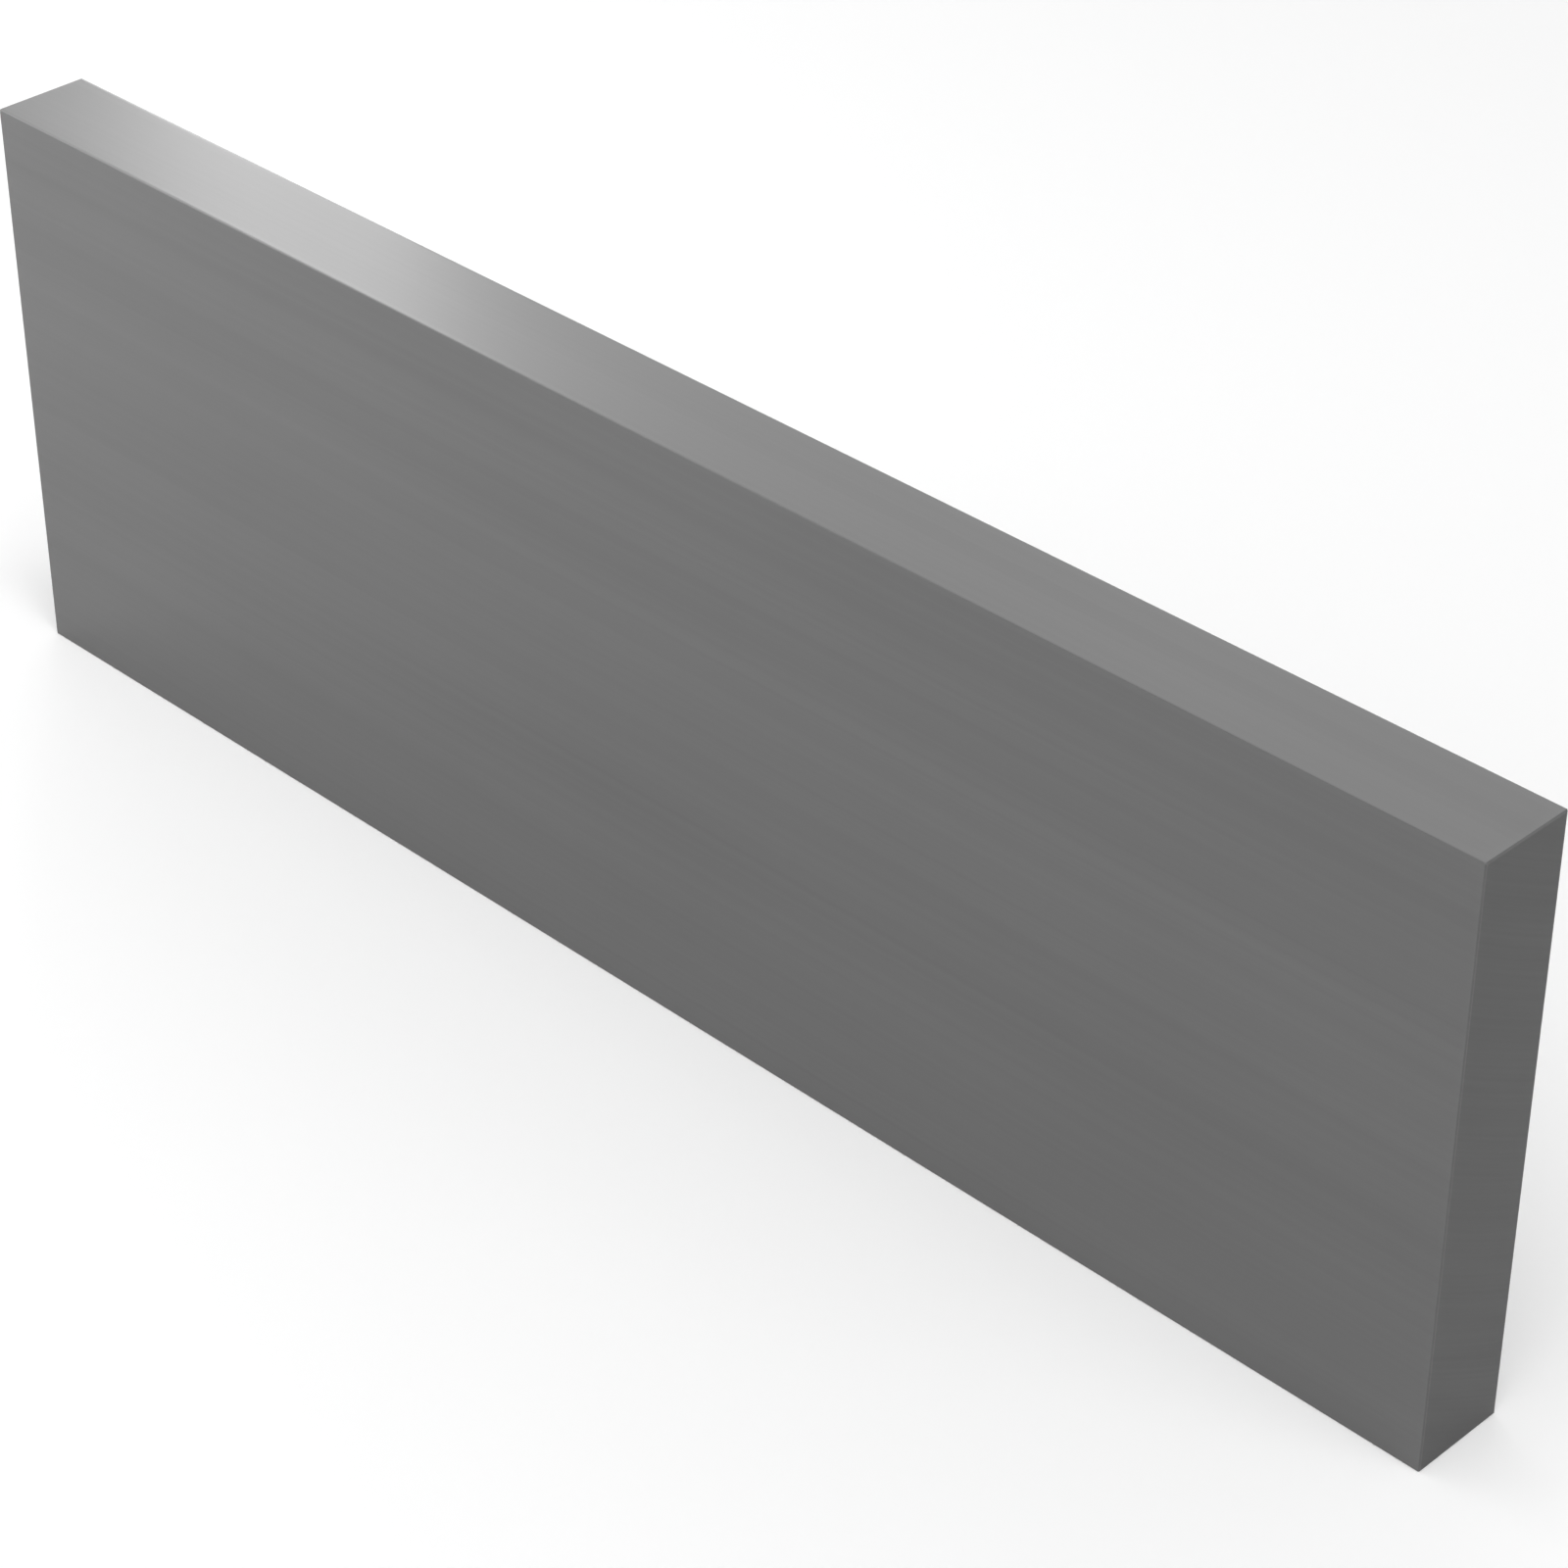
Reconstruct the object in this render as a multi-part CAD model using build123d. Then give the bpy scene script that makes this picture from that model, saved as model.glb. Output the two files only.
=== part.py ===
"""Short length of bright drawn steel flat bar, standing on one of its long narrow faces.

Frame: +X runs along the bar, +Y through its thickness and +Z up its width. The origin is the
middle of the narrow face that the bar stands on. Sizes are in millimetres.
"""

from build123d import *
import os

# The stock: a rectangular section that the drawing die gives, the same all along the bar.
bar_width = 60.0  # between the two narrow faces
bar_thickness = 10.0  # between the two broad faces
corner_radius = 0.1  # the die leaves this on the four long corners

# The piece cut from it.
bar_length = 180.0  # from saw cut to saw cut
end_chamfer = 0.1  # the file takes this off the rim of each sawn end


def drawn_stock():
    """The rounded rectangle of the die, drawn out to the length of the piece."""
    with BuildPart() as stock:
        with BuildSketch(Plane.YZ):
            RectangleRounded(bar_thickness, bar_width, corner_radius)
        extrude(amount=bar_length / 2, both=True)
    return stock.part


def sawn_and_filed_ends():
    """What the saw and the file leave of any stock of this size: flat ends with a filed rim."""
    with BuildPart() as envelope:
        Box(bar_length, bar_thickness, bar_width)
        ends = envelope.faces().filter_by(Axis.X)
        chamfer(ends.edges(), end_chamfer)
    return envelope.part


def flat_bar():
    """The finished piece, lifted so that it stands on the plane of the origin."""
    piece = drawn_stock() & sawn_and_filed_ends()
    return Pos(0, 0, bar_width / 2) * piece


os.makedirs("parts", exist_ok=True)
export_step(flat_bar(), "parts/flat_bar.step")
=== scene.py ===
"""Short length of bright drawn steel flat bar, standing on one of its long narrow faces.

Laid out as an add-on: property groups hold the sizes and colours, the bar and the studio have
an operator each, and a panel lists them. Run as a script, it draws the bar on the loaded frame
and lights it. Lengths are in metres, in the frame of the part: +X along the bar, +Y through its
thickness, +Z up its width, with the floor at height 0.
"""

import math

import bpy
from bpy.props import FloatProperty, FloatVectorProperty, IntProperty, PointerProperty
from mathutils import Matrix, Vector


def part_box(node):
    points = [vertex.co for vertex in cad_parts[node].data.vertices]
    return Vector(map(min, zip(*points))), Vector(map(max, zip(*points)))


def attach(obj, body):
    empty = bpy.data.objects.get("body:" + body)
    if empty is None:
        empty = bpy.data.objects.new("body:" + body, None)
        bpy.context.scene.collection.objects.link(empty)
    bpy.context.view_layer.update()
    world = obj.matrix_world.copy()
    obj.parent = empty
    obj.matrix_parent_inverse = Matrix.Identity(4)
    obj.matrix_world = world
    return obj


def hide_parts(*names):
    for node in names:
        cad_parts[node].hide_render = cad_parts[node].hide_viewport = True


bl_info = {
    "name": "Drawn Flat Bar",
    "version": (1, 0, 0),
    "blender": (4, 5, 0),
    "location": "3D View > Sidebar > Flat Bar",
    "description": "Draws a short length of bright steel flat bar in a white studio",
    "category": "Object",
}

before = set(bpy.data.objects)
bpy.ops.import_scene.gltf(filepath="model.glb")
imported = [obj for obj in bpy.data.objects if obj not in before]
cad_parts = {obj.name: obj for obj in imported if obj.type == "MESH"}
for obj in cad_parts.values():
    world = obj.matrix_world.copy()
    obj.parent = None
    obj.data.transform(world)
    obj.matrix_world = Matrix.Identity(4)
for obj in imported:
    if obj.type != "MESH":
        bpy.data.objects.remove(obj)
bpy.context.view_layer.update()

MM = 0.001
BAR_LOW, BAR_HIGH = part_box("flat_bar")
BAR_SIZE = BAR_HIGH - BAR_LOW

# The kinds of node and the vectors that are used most.
VECTOR_MATH, MATH, RANGE = "ShaderNodeVectorMath", "ShaderNodeMath", "ShaderNodeMapRange"
COMBINE, SEPARATE, NOISE = "ShaderNodeCombineXYZ", "ShaderNodeSeparateXYZ", "ShaderNodeTexNoise"
ONES, ZEROS = (1.0, 1.0, 1.0), (0.0, 0.0, 0.0)
NOISE_LOW, NOISE_HIGH = 0.3, 0.7  # nearly all of a noise lies between these


def linear(code):
    """The linear colour, with alpha, of an sRGB hex value such as "#707070"."""
    parts = [int(code[i : i + 2], 16) / 255 for i in (1, 3, 5)]
    return [c / 12.92 if c <= 0.04045 else ((c + 0.055) / 1.055) ** 2.4 for c in parts] + [1.0]


def add(tree, kind, inputs=None, **settings):
    """Adds a node with its settings. An input that is a node or a socket is linked, and any other is set."""
    node = tree.nodes.new(kind)
    for name, value in settings.items():
        setattr(node, name, value)
    for key, value in (inputs or {}).items():
        if isinstance(value, bpy.types.Node):
            value = value.outputs[0]
        if isinstance(value, bpy.types.NodeSocket):
            tree.links.new(value, node.inputs[key])
        else:
            node.inputs[key].default_value = value
    return node


class FlatBarSizes(bpy.types.PropertyGroup):
    """Sizes of the bar and of the marks that the die, the saw and the file leave on it"""

    length: FloatProperty(
        name="Length", description="From saw cut to saw cut", default=BAR_SIZE.x, unit="LENGTH"
    )
    thickness: FloatProperty(
        name="Thickness", description="Between the broad faces", default=BAR_SIZE.y, unit="LENGTH"
    )
    width: FloatProperty(
        name="Width", description="Between the narrow faces", default=BAR_SIZE.z, unit="LENGTH"
    )
    corner_radius: FloatProperty(
        name="Corner Radius",
        description="What the die leaves on the four long corners",
        default=0.1 * MM,
        unit="LENGTH",
    )
    end_chamfer: FloatProperty(
        name="End Chamfer",
        description="What the file takes off the rim of each sawn end",
        default=0.1 * MM,
        unit="LENGTH",
    )
    die_line_pitch: FloatProperty(
        name="Die Line Pitch",
        description="How far apart the lines are that the die draws along the bar",
        default=0.9 * MM,
        unit="LENGTH",
    )
    die_line_length: FloatProperty(
        name="Die Line Length",
        description="Length over which a die line comes and goes",
        default=160.0 * MM,
        unit="LENGTH",
    )
    die_line_depth: FloatProperty(
        name="Die Line Depth",
        description="Deepest of the die lines",
        default=0.0012 * MM,
        unit="LENGTH",
    )
    blade_radius: FloatProperty(
        name="Blade Radius",
        description="Of the round saw that cuts the ends",
        default=140.0 * MM,
        unit="LENGTH",
    )
    blade_offset: FloatProperty(
        name="Blade Offset",
        description="How far the middle of the saw is to one side of the bar",
        default=70.0 * MM,
        unit="LENGTH",
    )
    saw_mark_pitch: FloatProperty(
        name="Saw Mark Pitch",
        description="How far apart the tooth marks are across the sawn ends",
        default=0.9 * MM,
        unit="LENGTH",
    )
    saw_mark_depth: FloatProperty(
        name="Saw Mark Depth",
        description="Deepest of the tooth marks",
        default=0.006 * MM,
        unit="LENGTH",
    )
    seed: IntProperty(name="Seed", description="Which set of fine marks is drawn", default=7)


class FlatBarFinish(bpy.types.PropertyGroup):
    """Colours of the drawn and the sawn steel and of the studio floor. The sawn steel's is darker than the
    drawn steel's: painted shade on the ends.
    """

    drawn_steel: FloatVectorProperty(
        name="Drawn Steel",
        description="Colour of the drawn faces",
        subtype="COLOR",
        size=4,
        default=linear("#6D6D6D"),
    )
    # Darker than the drawn steel: painted shade, standing for the shade that the sawn ends are in.
    sawn_steel_and_shade: FloatVectorProperty(
        name="Sawn Steel And Shade",
        description="Colour of the sawn ends",
        subtype="COLOR",
        size=4,
        default=linear("#575757"),
    )
    floor: FloatVectorProperty(
        name="Floor",
        description="Colour of the studio floor",
        subtype="COLOR",
        size=4,
        default=linear("#FAFAFA"),
    )


# The bar

# The map that the grain of the steel follows. The export bakes through a map of this name, so there the
# grain keeps its direction too.
GRAIN_MAP = "OFBake"

# How fine the mesh is: the rows on each side of a long corner, and how far apart the rows are over the
# flats. With them goes the gap that the map leaves round its parts.
MESH_DETAIL = {
    "Corner Rows": 3,
    "Spacing Along": 3.0 * MM,
    "Spacing Across": 0.25 * MM,
    "Map Gap": 1.0 * MM,
}
LEAST_CORNER = 0.2  # the share of the corner radius that a chamfer leaves, at least
IN_CHAMFER = 0.25  # a face is part of a chamfer or an end if its middle is further into the end than this
RIM_ANGLE = math.radians(30)  # an edge that turns by more than this is shaded as a sharp one
# The kind of input for each type of value.
SOCKETS = {
    float: "NodeSocketFloat",
    int: "NodeSocketInt",
    bpy.types.Material: "NodeSocketMaterial",
}


def drawn_bar_tree(inputs):
    """The bar's node tree, with these named inputs: a box of fine rows, rounded, chamfered and marked by
    the die and the saw."""
    tree = bpy.data.node_groups.new("Drawn Flat Bar", "GeometryNodeTree")
    for name, value in inputs.items():
        tree.interface.new_socket(name, in_out="INPUT", socket_type=SOCKETS[type(value)])
    tree.interface.new_socket("Bar", in_out="OUTPUT", socket_type="NodeSocketGeometry")
    given = add(tree, "NodeGroupInput").outputs
    size = add(tree, COMBINE, {"X": given["Length"], "Y": given["Thickness"], "Z": given["Width"]})

    box, flat_part = box_of_rows(tree, given, size)
    smooth, outward, at_end = rounded_and_chamfered(tree, given, size, flat_part)
    faced = add(tree, "GeometryNodeCaptureAttribute", {"Geometry": box}, domain="FACE")
    faced.capture_items.new("VECTOR", "Side")
    faced.capture_items.new("FLOAT", "At End")
    tree.links.new(add(tree, "GeometryNodeInputNormal").outputs[0], faced.inputs["Side"])
    tree.links.new(at_end, faced.inputs["At End"])
    side = faced.outputs["Side"]

    grooves = die_grooves(tree, given, smooth, outward, at_end)
    marks, feed = saw_marks(tree, given, smooth, at_end)
    relief = add(tree, VECTOR_MATH, {0: grooves, 1: marks}, operation="ADD")
    marked = add(tree, VECTOR_MATH, {0: smooth, 1: relief}, operation="SUBTRACT")
    lift = add(tree, MATH, {0: given["Width"], 1: 0.5}, operation="MULTIPLY")
    standing = add(tree, VECTOR_MATH, {0: marked, 1: add(tree, COMBINE, {"Z": lift})}, operation="ADD")

    # Kept for the finishes: the saw's feed, and how far each point is from the nearest edge.
    bar = faced.outputs["Geometry"]
    for name, value in (("saw_feed", feed), ("from_edge", from_edge(tree, size, smooth))):
        bar = add(
            tree,
            "GeometryNodeStoreNamedAttribute",
            {"Geometry": bar, "Name": name, "Value": value},
            data_type="FLOAT",
            domain="POINT",
        )
    bar = add(tree, "GeometryNodeSetPosition", {"Geometry": bar, "Position": standing})
    bar = add(
        tree,
        "GeometryNodeStoreNamedAttribute",
        {"Geometry": bar, "Name": GRAIN_MAP, "Value": unrolled_map(tree, given, side)},
        data_type="FLOAT2",
        domain="CORNER",
    )

    # Smooth all over but for the rims of the chamfers.
    bar = add(tree, "GeometryNodeSetShadeSmooth", {"Geometry": bar}, domain="FACE")
    edge_angle = add(tree, "GeometryNodeInputMeshEdgeAngle")
    rim = add(tree, MATH, {0: edge_angle, 1: RIM_ANGLE}, operation="GREATER_THAN")
    bar = add(
        tree,
        "GeometryNodeSetShadeSmooth",
        {"Geometry": bar, "Selection": rim, "Shade Smooth": False},
        domain="EDGE",
    )
    bar = add(tree, "GeometryNodeRealizeInstances", {"Geometry": bar})
    bar = add(tree, "GeometryNodeSetMaterial", {"Geometry": bar, "Material": given["Drawn Steel"]})
    # The chamfers go with the sawn ends: the middle of a chamfer's face is half way into the end.
    sawn = add(tree, MATH, {0: faced.outputs["At End"], 1: IN_CHAMFER}, operation="GREATER_THAN")
    bar = add(
        tree,
        "GeometryNodeSetMaterial",
        {"Geometry": bar, "Selection": sawn, "Material": given["Sawn Steel And Shade"]},
    )
    add(tree, "NodeGroupOutput", {"Bar": bar})
    return tree


def box_of_rows(tree, given, size):
    """A box from -1 to 1 whose rows of points are even over the flats, with a few more for each rounded
    corner and one for the chamfer, and the share of it that is flat on each axis."""
    spacing = add(
        tree,
        COMBINE,
        {"X": given["Spacing Along"], "Y": given["Spacing Across"], "Z": given["Spacing Across"]},
    )
    edge_rows = add(tree, COMBINE, {"X": 1.0, "Y": given["Corner Rows"], "Z": given["Corner Rows"]})
    both_edges = add(tree, VECTOR_MATH, {0: edge_rows, "Scale": 2.0}, operation="SCALE")
    per_size = add(tree, VECTOR_MATH, {0: size, 1: spacing}, operation="DIVIDE")
    flat_rows = add(tree, VECTOR_MATH, {0: per_size}, operation="CEIL")
    rows = add(tree, VECTOR_MATH, {0: flat_rows, 1: both_edges}, operation="ADD")
    points = add(tree, VECTOR_MATH, {0: rows, 1: ONES}, operation="ADD")
    points_on = add(tree, SEPARATE, {0: points}).outputs
    box = add(
        tree,
        "GeometryNodeMeshCube",
        {
            "Size": (2.0, 2.0, 2.0),
            "Vertices X": points_on["X"],
            "Vertices Y": points_on["Y"],
            "Vertices Z": points_on["Z"],
        },
    )
    edge_part = add(tree, VECTOR_MATH, {0: both_edges, 1: rows}, operation="DIVIDE")
    flat_part = add(tree, VECTOR_MATH, {0: ONES, 1: edge_part}, operation="SUBTRACT")
    return box, flat_part


def rounded_and_chamfered(tree, given, size, flat_part):
    """Where each point of the box goes on the bar, centred on the origin, which way the section faces
    there, and how far the point is into the end, from 0 to 1."""
    place = add(tree, "GeometryNodeInputPosition")
    share = add(tree, VECTOR_MATH, {0: place}, operation="ABSOLUTE")
    side = add(tree, VECTOR_MATH, {0: place}, operation="SIGN")
    into_edge = add(
        tree, RANGE, {6: share, 7: flat_part, 8: ONES, 9: ZEROS, 10: ONES}, data_type="FLOAT_VECTOR"
    ).outputs[1]
    over_flat = add(
        tree, RANGE, {6: share, 7: ZEROS, 8: flat_part, 9: ZEROS, 10: ONES}, data_type="FLOAT_VECTOR"
    ).outputs[1]

    # The chamfer draws the section in towards each end, and its corners get smaller with it.
    at_end = add(tree, SEPARATE, {0: into_edge}).outputs["X"]
    inset = add(tree, MATH, {0: at_end, 1: given["End Chamfer"]}, operation="MULTIPLY")
    left_radius = add(tree, MATH, {0: given["Corner Radius"], 1: inset}, operation="SUBTRACT")
    least_radius = add(tree, MATH, {0: given["Corner Radius"], 1: LEAST_CORNER}, operation="MULTIPLY")
    radius = add(tree, MATH, {0: left_radius, 1: least_radius}, operation="MAXIMUM")
    taken = add(tree, MATH, {0: inset, 1: radius}, operation="ADD")
    taken_off = add(tree, COMBINE, {"X": given["End Chamfer"], "Y": taken, "Z": taken})
    half_size = add(tree, VECTOR_MATH, {0: size, "Scale": 0.5}, operation="SCALE")
    half_flat = add(tree, VECTOR_MATH, {0: half_size, 1: taken_off}, operation="SUBTRACT")
    on_flat = add(tree, VECTOR_MATH, {0: over_flat, 1: half_flat}, operation="MULTIPLY")

    # Round each long corner in equal turns: the box's square corner is pulled onto its arc.
    eighth_turn = (0.0, math.pi / 4, math.pi / 4)
    turn = add(tree, VECTOR_MATH, {0: into_edge, 1: eighth_turn}, operation="MULTIPLY")
    square = add(tree, VECTOR_MATH, {0: turn}, operation="TANGENT")
    square_on = add(tree, SEPARATE, {0: square}).outputs
    reach = add(tree, MATH, {0: square_on["Y"], 1: square_on["Z"]}, operation="MAXIMUM")
    arc = add(tree, MATH, {0: reach, 1: radius}, operation="MULTIPLY")
    quarter_outward = add(tree, VECTOR_MATH, {0: square}, operation="NORMALIZE")
    rounding = add(tree, VECTOR_MATH, {0: quarter_outward, "Scale": arc}, operation="SCALE")
    past_flat = add(tree, VECTOR_MATH, {0: rounding, 1: add(tree, COMBINE, {"X": inset})}, operation="ADD")
    quarter = add(tree, VECTOR_MATH, {0: on_flat, 1: past_flat}, operation="ADD")
    smooth = add(tree, VECTOR_MATH, {0: quarter, 1: side}, operation="MULTIPLY")
    outward = add(tree, VECTOR_MATH, {0: quarter_outward, 1: side}, operation="MULTIPLY")
    return smooth, outward, at_end


def die_grooves(tree, given, smooth, outward, at_end):
    """Shallow grooves that the die draws along the bar, which slowly come and go."""
    line_size = add(
        tree,
        COMBINE,
        {"X": given["Die Line Length"], "Y": given["Die Line Pitch"], "Z": given["Die Line Pitch"]},
    )
    place = add(tree, VECTOR_MATH, {0: smooth, 1: line_size}, operation="DIVIDE")
    noise = add(tree, NOISE, {"Vector": place, "W": given["Seed"], "Scale": 1.0}, noise_dimensions="4D")
    cut_above, deepest_at = 0.35, 0.75  # of the noise: a groove is cut only where it is high enough
    groove = add(
        tree, RANGE, {0: noise, 1: cut_above, 2: deepest_at, 3: 0.0, 4: given["Die Line Depth"]}
    )
    between_ends = add(tree, MATH, {0: 1.0, 1: at_end}, operation="SUBTRACT")
    depth = add(tree, MATH, {0: groove, 1: between_ends}, operation="MULTIPLY")
    return add(tree, VECTOR_MATH, {0: outward, "Scale": depth}, operation="SCALE")


def saw_marks(tree, given, smooth, at_end):
    """Tooth marks on the ends, by a round blade that is fed down the width with its middle to one side
    of the bar, and the feed at which its rim passes each point."""
    on = add(tree, SEPARATE, {0: smooth}).outputs
    aside = add(tree, MATH, {0: on["Y"], 1: given["Blade Offset"]}, operation="SUBTRACT")
    aside_squared = add(tree, MATH, {0: aside, 1: 2.0}, operation="POWER")
    radius_squared = add(tree, MATH, {0: given["Blade Radius"], 1: 2.0}, operation="POWER")
    drop_squared = add(tree, MATH, {0: radius_squared, 1: aside_squared}, operation="SUBTRACT")
    drop = add(tree, MATH, {0: drop_squared}, operation="SQRT")
    feed = add(tree, MATH, {0: on["Z"], 1: drop}, operation="ADD")
    place = add(tree, MATH, {0: feed, 1: given["Saw Mark Pitch"]}, operation="DIVIDE")
    end = add(tree, MATH, {0: on["X"]}, operation="SIGN")
    cut = add(tree, MATH, {0: end, 1: given["Seed"]}, operation="ADD")
    noise = add(
        tree,
        NOISE,
        {"Vector": add(tree, COMBINE, {"X": place, "Y": cut}), "Scale": 1.0},
        noise_dimensions="2D",
    )
    mark = add(
        tree, RANGE, {0: noise, 1: NOISE_LOW, 2: NOISE_HIGH, 3: 0.0, 4: given["Saw Mark Depth"]}
    )
    depth = add(tree, MATH, {0: mark, 1: at_end}, operation="MULTIPLY")
    marks = add(tree, COMBINE, {"X": add(tree, MATH, {0: depth, 1: end}, operation="MULTIPLY")})
    return marks, feed


def from_edge(tree, size, smooth):
    """How far each point of the surface is from the nearest edge: its distances to the two nearest faces,
    added up."""
    half_size = add(tree, VECTOR_MATH, {0: size, "Scale": 0.5}, operation="SCALE")
    place = add(tree, VECTOR_MATH, {0: smooth}, operation="ABSOLUTE")
    depth = add(tree, VECTOR_MATH, {0: half_size, 1: place}, operation="SUBTRACT")
    under = add(tree, SEPARATE, {0: depth}).outputs
    pairs = [
        add(tree, MATH, {0: under[a], 1: under[b]}, operation="ADD") for a, b in ("XY", "YZ", "ZX")
    ]
    nearer = add(tree, MATH, {0: pairs[0], 1: pairs[1]}, operation="MINIMUM")
    return add(tree, MATH, {0: nearer, 1: pairs[2]}, operation="MINIMUM")


def unrolled_map(tree, given, side):
    """A map of the bar at one scale: the four long faces are unrolled next to each other, and the ends
    stand in a column beside them. The die's lines and the saw's marks both run along its first axis."""
    place = add(tree, "GeometryNodeInputPosition")
    half_width = add(tree, MATH, {0: given["Width"], 1: 0.5}, operation="MULTIPLY")
    middle = add(tree, COMBINE, {"Z": half_width})
    centred = add(tree, VECTOR_MATH, {0: place, 1: middle}, operation="SUBTRACT")
    faces = add(tree, SEPARATE, {0: side}).outputs
    end = add(tree, MATH, {0: faces["X"]}, operation="ABSOLUTE")
    not_end = add(tree, MATH, {0: 1.0, 1: end}, operation="SUBTRACT")
    along = add(tree, COMBINE, {"X": not_end, "Y": faces["X"]})
    not_y = add(tree, MATH, {0: end, 1: faces["Y"]}, operation="SUBTRACT")
    across = add(tree, COMBINE, {"Y": faces["Z"], "Z": not_y})
    u = add(tree, VECTOR_MATH, {0: centred, 1: along}, operation="DOT_PRODUCT").outputs["Value"]
    v = add(tree, VECTOR_MATH, {0: centred, 1: across}, operation="DOT_PRODUCT").outputs["Value"]

    # Where the middle of each face comes. The front, top, back and bottom are 0 to 3 turns round the bar,
    # half a width and half a thickness apart. The left end is beside the front, and the right one beside
    # the back.
    half_length = add(tree, MATH, {0: given["Length"], 1: 0.5}, operation="MULTIPLY")
    half_thickness = add(tree, MATH, {0: given["Thickness"], 1: 0.5}, operation="MULTIPLY")
    half_both = add(tree, MATH, {0: half_width, 1: half_thickness}, operation="ADD")
    to_column = add(tree, MATH, {0: half_length, 1: half_thickness}, operation="ADD")
    to_column = add(tree, MATH, {0: to_column, 1: given["Map Gap"]}, operation="ADD")
    u_middle = add(tree, MATH, {0: end, 1: to_column, 2: half_length}, operation="MULTIPLY_ADD")
    back_half = add(tree, VECTOR_MATH, {0: side, 1: (1.0, 1.0, -1.0)}, operation="DOT_PRODUCT")
    narrow = add(tree, MATH, {0: faces["Z"]}, operation="ABSOLUTE")
    turns = add(tree, MATH, {0: back_half.outputs["Value"], 1: narrow}, operation="ADD")
    turns = add(tree, MATH, {0: turns, 1: 1.0}, operation="ADD")
    v_middle = add(tree, MATH, {0: turns, 1: half_both, 2: half_width}, operation="MULTIPLY_ADD")
    map_place = add(
        tree,
        COMBINE,
        {
            "X": add(tree, MATH, {0: u, 1: u_middle}, operation="ADD"),
            "Y": add(tree, MATH, {0: v, 1: v_middle}, operation="ADD"),
        },
    )

    # The map's square is as wide as a long face, an end and three gaps.
    gap = given["Map Gap"]
    margin = add(tree, COMBINE, {"X": gap, "Y": gap})
    inside = add(tree, VECTOR_MATH, {0: map_place, 1: margin}, operation="ADD")
    wide = add(tree, MATH, {0: given["Length"], 1: given["Thickness"]}, operation="ADD")
    wide = add(tree, MATH, {0: gap, 1: 3.0, 2: wide}, operation="MULTIPLY_ADD")
    per_wide = add(tree, MATH, {0: 1.0, 1: wide}, operation="DIVIDE")
    return add(tree, VECTOR_MATH, {0: inside, "Scale": per_wide}, operation="SCALE")


# The finishes

ACROSS_GRAIN = 0.25  # of a turn: a highlight is drawn out across the lines, which run along the map


def spots(tree, place, size, finer=0.0, share=0.5, dimensions="3D"):
    """Noise from about -1 to 1, with spots of this size along each axis of place, and this many layers of
    spots that are each half as large and have this share of the strength."""
    laid = add(tree, "ShaderNodeMapping", {"Vector": place, "Scale": size}, vector_type="TEXTURE")
    inputs = {"Vector": laid, "Scale": 1.0, "Detail": finer, "Roughness": share}
    noise = add(tree, NOISE, inputs, noise_dimensions=dimensions)
    levels = {1: NOISE_LOW, 2: NOISE_HIGH, 3: -1.0, 4: 1.0}
    return add(tree, RANGE, {0: noise, **levels}, clamp=False)


def with_marks(tree, value, marks):
    """A value plus each mark times its amount."""
    for mark, amount in marks:
        value = add(tree, MATH, {0: mark, 1: amount, 2: value}, operation="MULTIPLY_ADD")
    return value


def drawn_steel(colour):
    """Bright drawn mild steel: pulled cold through a die, so it is satin, with fine lines along it."""
    material = bpy.data.materials.new("Bright Drawn Mild Steel")
    material.use_nodes = True
    tree = material.node_tree
    tree.nodes.clear()
    place = add(tree, "ShaderNodeTexCoord").outputs["Object"]

    # The die's lines, in life a few hundredths of a millimetre apart: drawn 0.2 to 0.8 mm apart, so that
    # they show.
    lines = spots(tree, place, (300 * MM, 0.8 * MM, 0.8 * MM), finer=2.0, share=0.9)
    # Bands of lines in which the die was cleaner or rougher.
    bands = spots(tree, place, (500 * MM, 4 * MM, 4 * MM))
    # A thin film of drawing soap, wiped off unevenly.
    film = spots(tree, place, (45 * MM, 16 * MM, 16 * MM), finer=1.0)
    # Scores: the strongest lines, where a grain of scale in the die cut deeper.
    score = add(tree, RANGE, {0: lines, 1: 0.8, 2: 1.2, 3: 0.0, 4: 1.0})
    # Corners, rubbed a little brighter over the last 0.8 mm.
    edge = add(tree, "ShaderNodeAttribute", attribute_name="from_edge").outputs["Fac"]
    rubbed = add(tree, RANGE, {0: edge, 1: 0.0, 2: 0.8 * MM, 3: 1.0, 4: 0.0})

    marks = [(lines, 0.03), (bands, 0.02), (film, 0.02), (score, -0.04), (rubbed, 0.02)]
    shade = with_marks(tree, 1.0, marks)
    marks = [(lines, 0.005), (bands, 0.005), (film, 0.005), (rubbed, -0.02)]
    roughness = with_marks(tree, 0.3, marks)
    height = with_marks(tree, 0.0, [(lines, 0.5), (score, -1.0)])  # in units of the bump's distance
    shader = {
        "Base Color": add(tree, VECTOR_MATH, {0: colour[:3], "Scale": shade}, operation="SCALE"),
        "Metallic": 1.0,
        "Roughness": roughness,
        "Anisotropic": 0.5,
        "Anisotropic Rotation": ACROSS_GRAIN,
        "Tangent": add(tree, "ShaderNodeTangent", direction_type="UV_MAP", uv_map=GRAIN_MAP),
        "Normal": add(tree, "ShaderNodeBump", {"Height": height, "Distance": 0.0012 * MM}),
    }
    surface = add(tree, "ShaderNodeBsdfPrincipled", shader)
    add(tree, "ShaderNodeOutputMaterial", {"Surface": surface})
    return material


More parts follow.
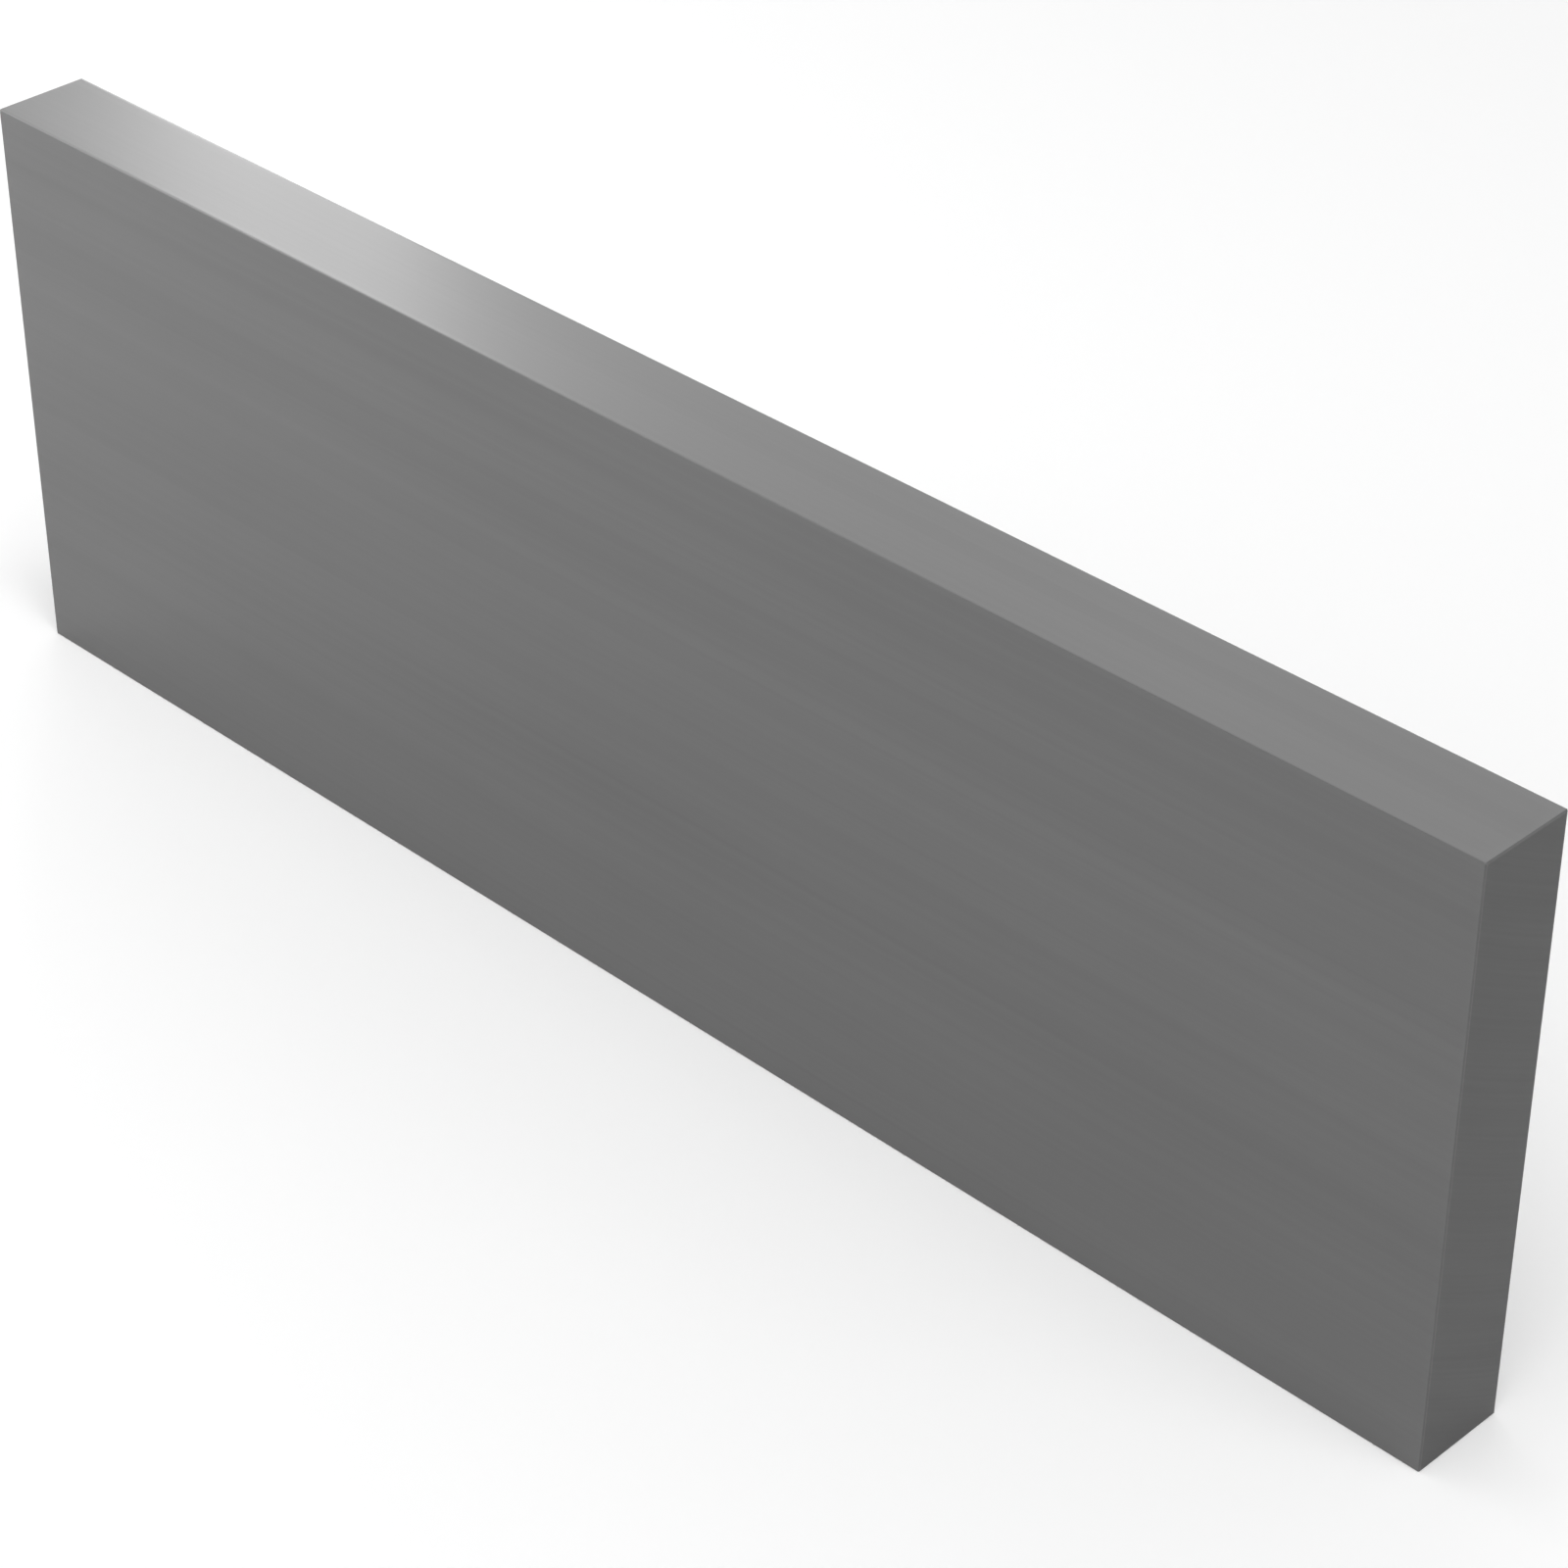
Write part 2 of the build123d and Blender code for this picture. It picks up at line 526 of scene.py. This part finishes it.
def sawn_steel_and_shade(colour, chamfer):
    """Cold sawn mild steel: cut by a round blade, so it is duller than the drawn faces, with curved tooth
    marks, and filed bright along its chamfer. Its colour is darker than the drawn steel's: painted shade on
    the ends."""
    material = bpy.data.materials.new("Cold Sawn Mild Steel With Painted Shade")
    material.use_nodes = True
    tree = material.node_tree
    tree.nodes.clear()
    place = add(tree, SEPARATE, {0: add(tree, "ShaderNodeTexCoord").outputs["Object"]}).outputs
    feed = add(tree, "ShaderNodeAttribute", attribute_name="saw_feed").outputs["Fac"]
    on_cut = add(tree, COMBINE, {"X": place["Y"], "Y": feed})

    # Tooth marks, in life 0.05 to 0.2 mm apart: drawn 0.3 to 0.6 mm apart, so that they show.
    teeth = spots(tree, on_cut, (25 * MM, 0.6 * MM, MM), finer=1.0, share=0.9, dimensions="2D")
    # Passes where the blade cut more or less cleanly.
    passes = spots(tree, on_cut, (60 * MM, 3 * MM, MM), dimensions="2D")
    # The chamfer, which the file has left smoother and brighter than the cut. All of it counts as one
    # chamfer's size from the edge, because the distances to its two faces are added up.
    edge = add(tree, "ShaderNodeAttribute", attribute_name="from_edge").outputs["Fac"]
    filed = add(tree, RANGE, {0: edge, 1: chamfer, 2: 3.0 * chamfer, 3: 1.0, 4: 0.0})

    shade = with_marks(tree, 1.0, [(teeth, 0.03), (passes, 0.03), (filed, 0.35)])
    # The base colour is darker than the drawn steel's: painted shade on the ends.
    shader = {
        "Base Color": add(tree, VECTOR_MATH, {0: colour[:3], "Scale": shade}, operation="SCALE"),
        "Metallic": 1.0,
        "Roughness": with_marks(tree, 0.42, [(passes, 0.03), (filed, -0.05)]),
        "Anisotropic": 0.3,
        "Anisotropic Rotation": ACROSS_GRAIN,
        "Tangent": add(tree, "ShaderNodeTangent", direction_type="UV_MAP", uv_map=GRAIN_MAP),
        "Normal": add(tree, "ShaderNodeBump", {"Height": teeth, "Distance": 0.0015 * MM}),
    }
    surface = add(tree, "ShaderNodeBsdfPrincipled", shader)
    add(tree, "ShaderNodeOutputMaterial", {"Surface": surface})
    return material


class FLATBAR_OT_draw_bar(bpy.types.Operator):
    """Draws the flat bar in place of its plain solid"""

    bl_idname = "flat_bar.draw_bar"
    bl_label = "Draw Flat Bar"

    def execute(self, context):
        sizes, finish = context.scene.flat_bar_sizes, context.scene.flat_bar_finish
        # The name of a size, in words, is also the name of the tree's input for it.
        inputs = {
            name.replace("_", " ").title(): getattr(sizes, name) for name in sizes.__annotations__
        }
        inputs.update(MESH_DETAIL)
        inputs["Drawn Steel"] = drawn_steel(finish.drawn_steel)
        inputs["Sawn Steel And Shade"] = sawn_steel_and_shade(finish.sawn_steel_and_shade, sizes.end_chamfer)
        bar = bpy.data.objects.new("drawn_flat_bar", bpy.data.meshes.new("bar maker"))
        context.collection.objects.link(bar)
        maker = bar.modifiers.new("Drawn Flat Bar", "NODES")
        maker.node_group = drawn_bar_tree(inputs)
        for item in maker.node_group.interface.items_tree:
            if item.in_out == "INPUT":
                maker[item.identifier] = inputs[item.name]
        depsgraph = context.evaluated_depsgraph_get()
        mesh = bpy.data.meshes.new_from_object(
            bar.evaluated_get(depsgraph), preserve_all_data_layers=True, depsgraph=depsgraph
        )
        if not mesh.polygons:
            raise RuntimeError("the bar's node tree made no faces")
        bar.modifiers.remove(maker)
        mesh.materials.pop(index=0)  # the slot that the empty starting mesh brought
        mesh.name = "drawn_flat_bar"
        bar.data = mesh
        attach(bar, "root")
        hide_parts("flat_bar")
        return {"FINISHED"}


# The studio

FLOOR_HALF = 4.0  # from the middle of the floor to each side
FLOOR_PAINTED, FLOOR_WHITE = 0.22, 0.45  # how far out the floor stays paint, and where it is all white
WORLD_LEVEL = 0.4  # how bright the world is where it lights a matt surface

CAMERA_PLACE = (0.2371, -0.2246, 0.2426)
CAMERA_TURN, CAMERA_RISE = 44.975, 34.1  # which way it stands from what it looks at, in degrees
CAMERA_LENS, CAMERA_SENSOR = 99.94, 36.0  # in millimetres, as Blender has them

BAR_MIDDLE = Vector((0.0, 0.0, 0.5 * BAR_SIZE.z))
TOP_LEFT = Vector((-50 * MM, 0.0, BAR_SIZE.z))
STRIP = math.radians(4)  # how wide a strip is, seen from what it is aimed at
# Each softbox: what it is aimed at, its direction from there as a turn from -Y towards +X and a height
# above the floor, both in degrees, then its distance, width and height in metres, and its brightness,
# where 1 is white.
SOFTBOXES = {
    "left": (TOP_LEFT, -60.0, 20.0, 0.3, 0.3, 0.2, 2.18),
    "above": (BAR_MIDDLE, 45.0, 65.0, 1.5, 1.2, 1.2, 2.62),
    "right": (BAR_MIDDLE, 90.0, 35.0, 1.5, 1.2, 1.2, 1.29),
    "back": (BAR_MIDDLE, -135.0, 35.0, 1.5, 1.2, 1.2, 0.45),
    "far_strip": (TOP_LEFT, -128.0, 27.0, 0.7, 0.7 * STRIP, 0.35, 2.21),
    "strip": (TOP_LEFT, -126.0, 27.0, 0.3, 0.3 * STRIP, 0.15, 2.07),
    "near_strip": (TOP_LEFT, -134.0, 27.0, 0.12, 0.12 * STRIP, 0.06, 1.11),
}


def seen_white(tree, hidden):
    """White as it is seen, directly or in the metal, and this strength where it lights a matt surface."""
    path = add(tree, "ShaderNodeLightPath").outputs
    seen = add(tree, MATH, {0: path["Is Camera Ray"], 1: path["Is Glossy Ray"]}, operation="MAXIMUM")
    seen = add(tree, MATH, {0: seen, 1: path["Is Transmission Ray"]}, operation="MAXIMUM")
    return add(tree, RANGE, {0: seen, 3: hidden, 4: 1.0})


def floor_material(colour):
    """Matt white studio floor: emulsion paint, which shows the shadow of the bar and runs out into white."""
    material = bpy.data.materials.new("Matt White Floor")
    material.use_nodes = True
    tree = material.node_tree
    tree.nodes.clear()
    place = add(tree, "ShaderNodeTexCoord").outputs["Object"]
    distance = add(tree, VECTOR_MATH, {0: place}, operation="LENGTH").outputs["Value"]
    run_out = add(
        tree,
        RANGE,
        {0: distance, 1: FLOOR_PAINTED, 2: FLOOR_WHITE},
        interpolation_type="SMOOTHSTEP",
    )
    paint = add(tree, "ShaderNodeBsdfDiffuse", {"Color": colour})
    white = add(tree, "ShaderNodeEmission", {"Strength": seen_white(tree, 0.0)})
    surface = add(tree, "ShaderNodeMixShader", {0: run_out, 1: paint, 2: white})
    add(tree, "ShaderNodeOutputMaterial", {"Surface": surface})
    return material


def studio_world():
    """White all round as it is seen, and dimmer where it lights a matt surface."""
    world = bpy.data.worlds.new("White Studio")
    world.use_nodes = True
    tree = world.node_tree
    tree.nodes.clear()
    white = {"Color": (1.0, 1.0, 1.0, 1.0), "Strength": seen_white(tree, WORLD_LEVEL)}
    sky = add(tree, "ShaderNodeBackground", white)
    add(tree, "ShaderNodeOutputWorld", {"Surface": sky})
    return world


def direction(azimuth, elevation):
    """The unit vector at this turn from -Y towards +X and this height above the floor, in degrees."""
    turn, rise = math.radians(azimuth), math.radians(elevation)
    return Vector(
        (math.sin(turn) * math.cos(rise), -math.cos(turn) * math.cos(rise), math.sin(rise))
    )


def lay_floor(collection, colour):
    """The studio floor, at height 0."""
    mesh = bpy.data.meshes.new("floor")
    signs = ((-1, -1), (1, -1), (1, 1), (-1, 1))
    mesh.from_pydata([(x * FLOOR_HALF, y * FLOOR_HALF, 0) for x, y in signs], [], [(0, 1, 2, 3)])
    mesh.materials.append(floor_material(colour))
    floor = bpy.data.objects.new("floor", mesh)
    collection.objects.link(floor)


def hang_softbox(collection, name, aim, azimuth, elevation, distance, width, height, level):
    """A softbox that the camera doesn't see, turned towards what it is aimed at."""
    lamp = bpy.data.lights.new(name, "AREA")
    lamp.shape = "RECTANGLE"
    lamp.size, lamp.size_y = width, height
    lamp.energy = level * math.pi * width * height
    softbox = bpy.data.objects.new(name, lamp)
    softbox.location = aim + direction(azimuth, elevation) * distance
    softbox.rotation_mode = "QUATERNION"
    softbox.rotation_quaternion = direction(azimuth, elevation).to_track_quat("Z", "Y")
    softbox.visible_camera = False
    collection.objects.link(softbox)


def set_up_camera(collection):
    """The camera, level, with the whole bar in its square frame."""
    lens = bpy.data.cameras.new("camera")
    lens.sensor_width = CAMERA_SENSOR
    lens.lens = CAMERA_LENS
    camera = bpy.data.objects.new("camera", lens)
    camera.location = CAMERA_PLACE
    camera.rotation_mode = "QUATERNION"
    camera.rotation_quaternion = direction(CAMERA_TURN, CAMERA_RISE).to_track_quat("Z", "Y")
    collection.objects.link(camera)
    return camera


class FLATBAR_OT_light_studio(bpy.types.Operator):
    """Lays the white floor, hangs the softboxes and sets up the camera"""

    bl_idname = "flat_bar.light_studio"
    bl_label = "Light Studio"

    def execute(self, context):
        scene = context.scene
        scene.view_settings.view_transform = "Standard"
        lay_floor(context.collection, scene.flat_bar_finish.floor)
        scene.world = studio_world()
        # With the light tree a render takes a quarter longer, for hardly less noise.
        scene.cycles.use_light_tree = False
        for name, softbox in SOFTBOXES.items():
            hang_softbox(context.collection, name, *softbox)
        scene.camera = set_up_camera(context.collection)
        return {"FINISHED"}


class FLATBAR_PT_panel(bpy.types.Panel):
    """Lists what makes up the bar and its studio"""

    bl_idname = "FLATBAR_PT_panel"
    bl_label = "Flat Bar"
    bl_space_type = "VIEW_3D"
    bl_region_type = "UI"
    bl_category = "Flat Bar"

    def draw(self, context):
        for group in (context.scene.flat_bar_sizes, context.scene.flat_bar_finish):
            column = self.layout.column(align=True)
            for name in group.__annotations__:
                column.prop(group, name)
        for operator in OPERATORS:
            self.layout.operator(operator.bl_idname)


OPERATORS = (FLATBAR_OT_draw_bar, FLATBAR_OT_light_studio)
CLASSES = (FlatBarSizes, FlatBarFinish, *OPERATORS, FLATBAR_PT_panel)


def register():
    for item in CLASSES:
        bpy.utils.register_class(item)
    bpy.types.Scene.flat_bar_sizes = PointerProperty(type=FlatBarSizes)
    bpy.types.Scene.flat_bar_finish = PointerProperty(type=FlatBarFinish)


def unregister():
    del bpy.types.Scene.flat_bar_finish
    del bpy.types.Scene.flat_bar_sizes
    for item in reversed(CLASSES):
        bpy.utils.unregister_class(item)


def main():
    """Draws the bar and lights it."""
    register()
    bpy.ops.flat_bar.draw_bar()
    bpy.ops.flat_bar.light_studio()


if __name__ == "__main__":
    main()
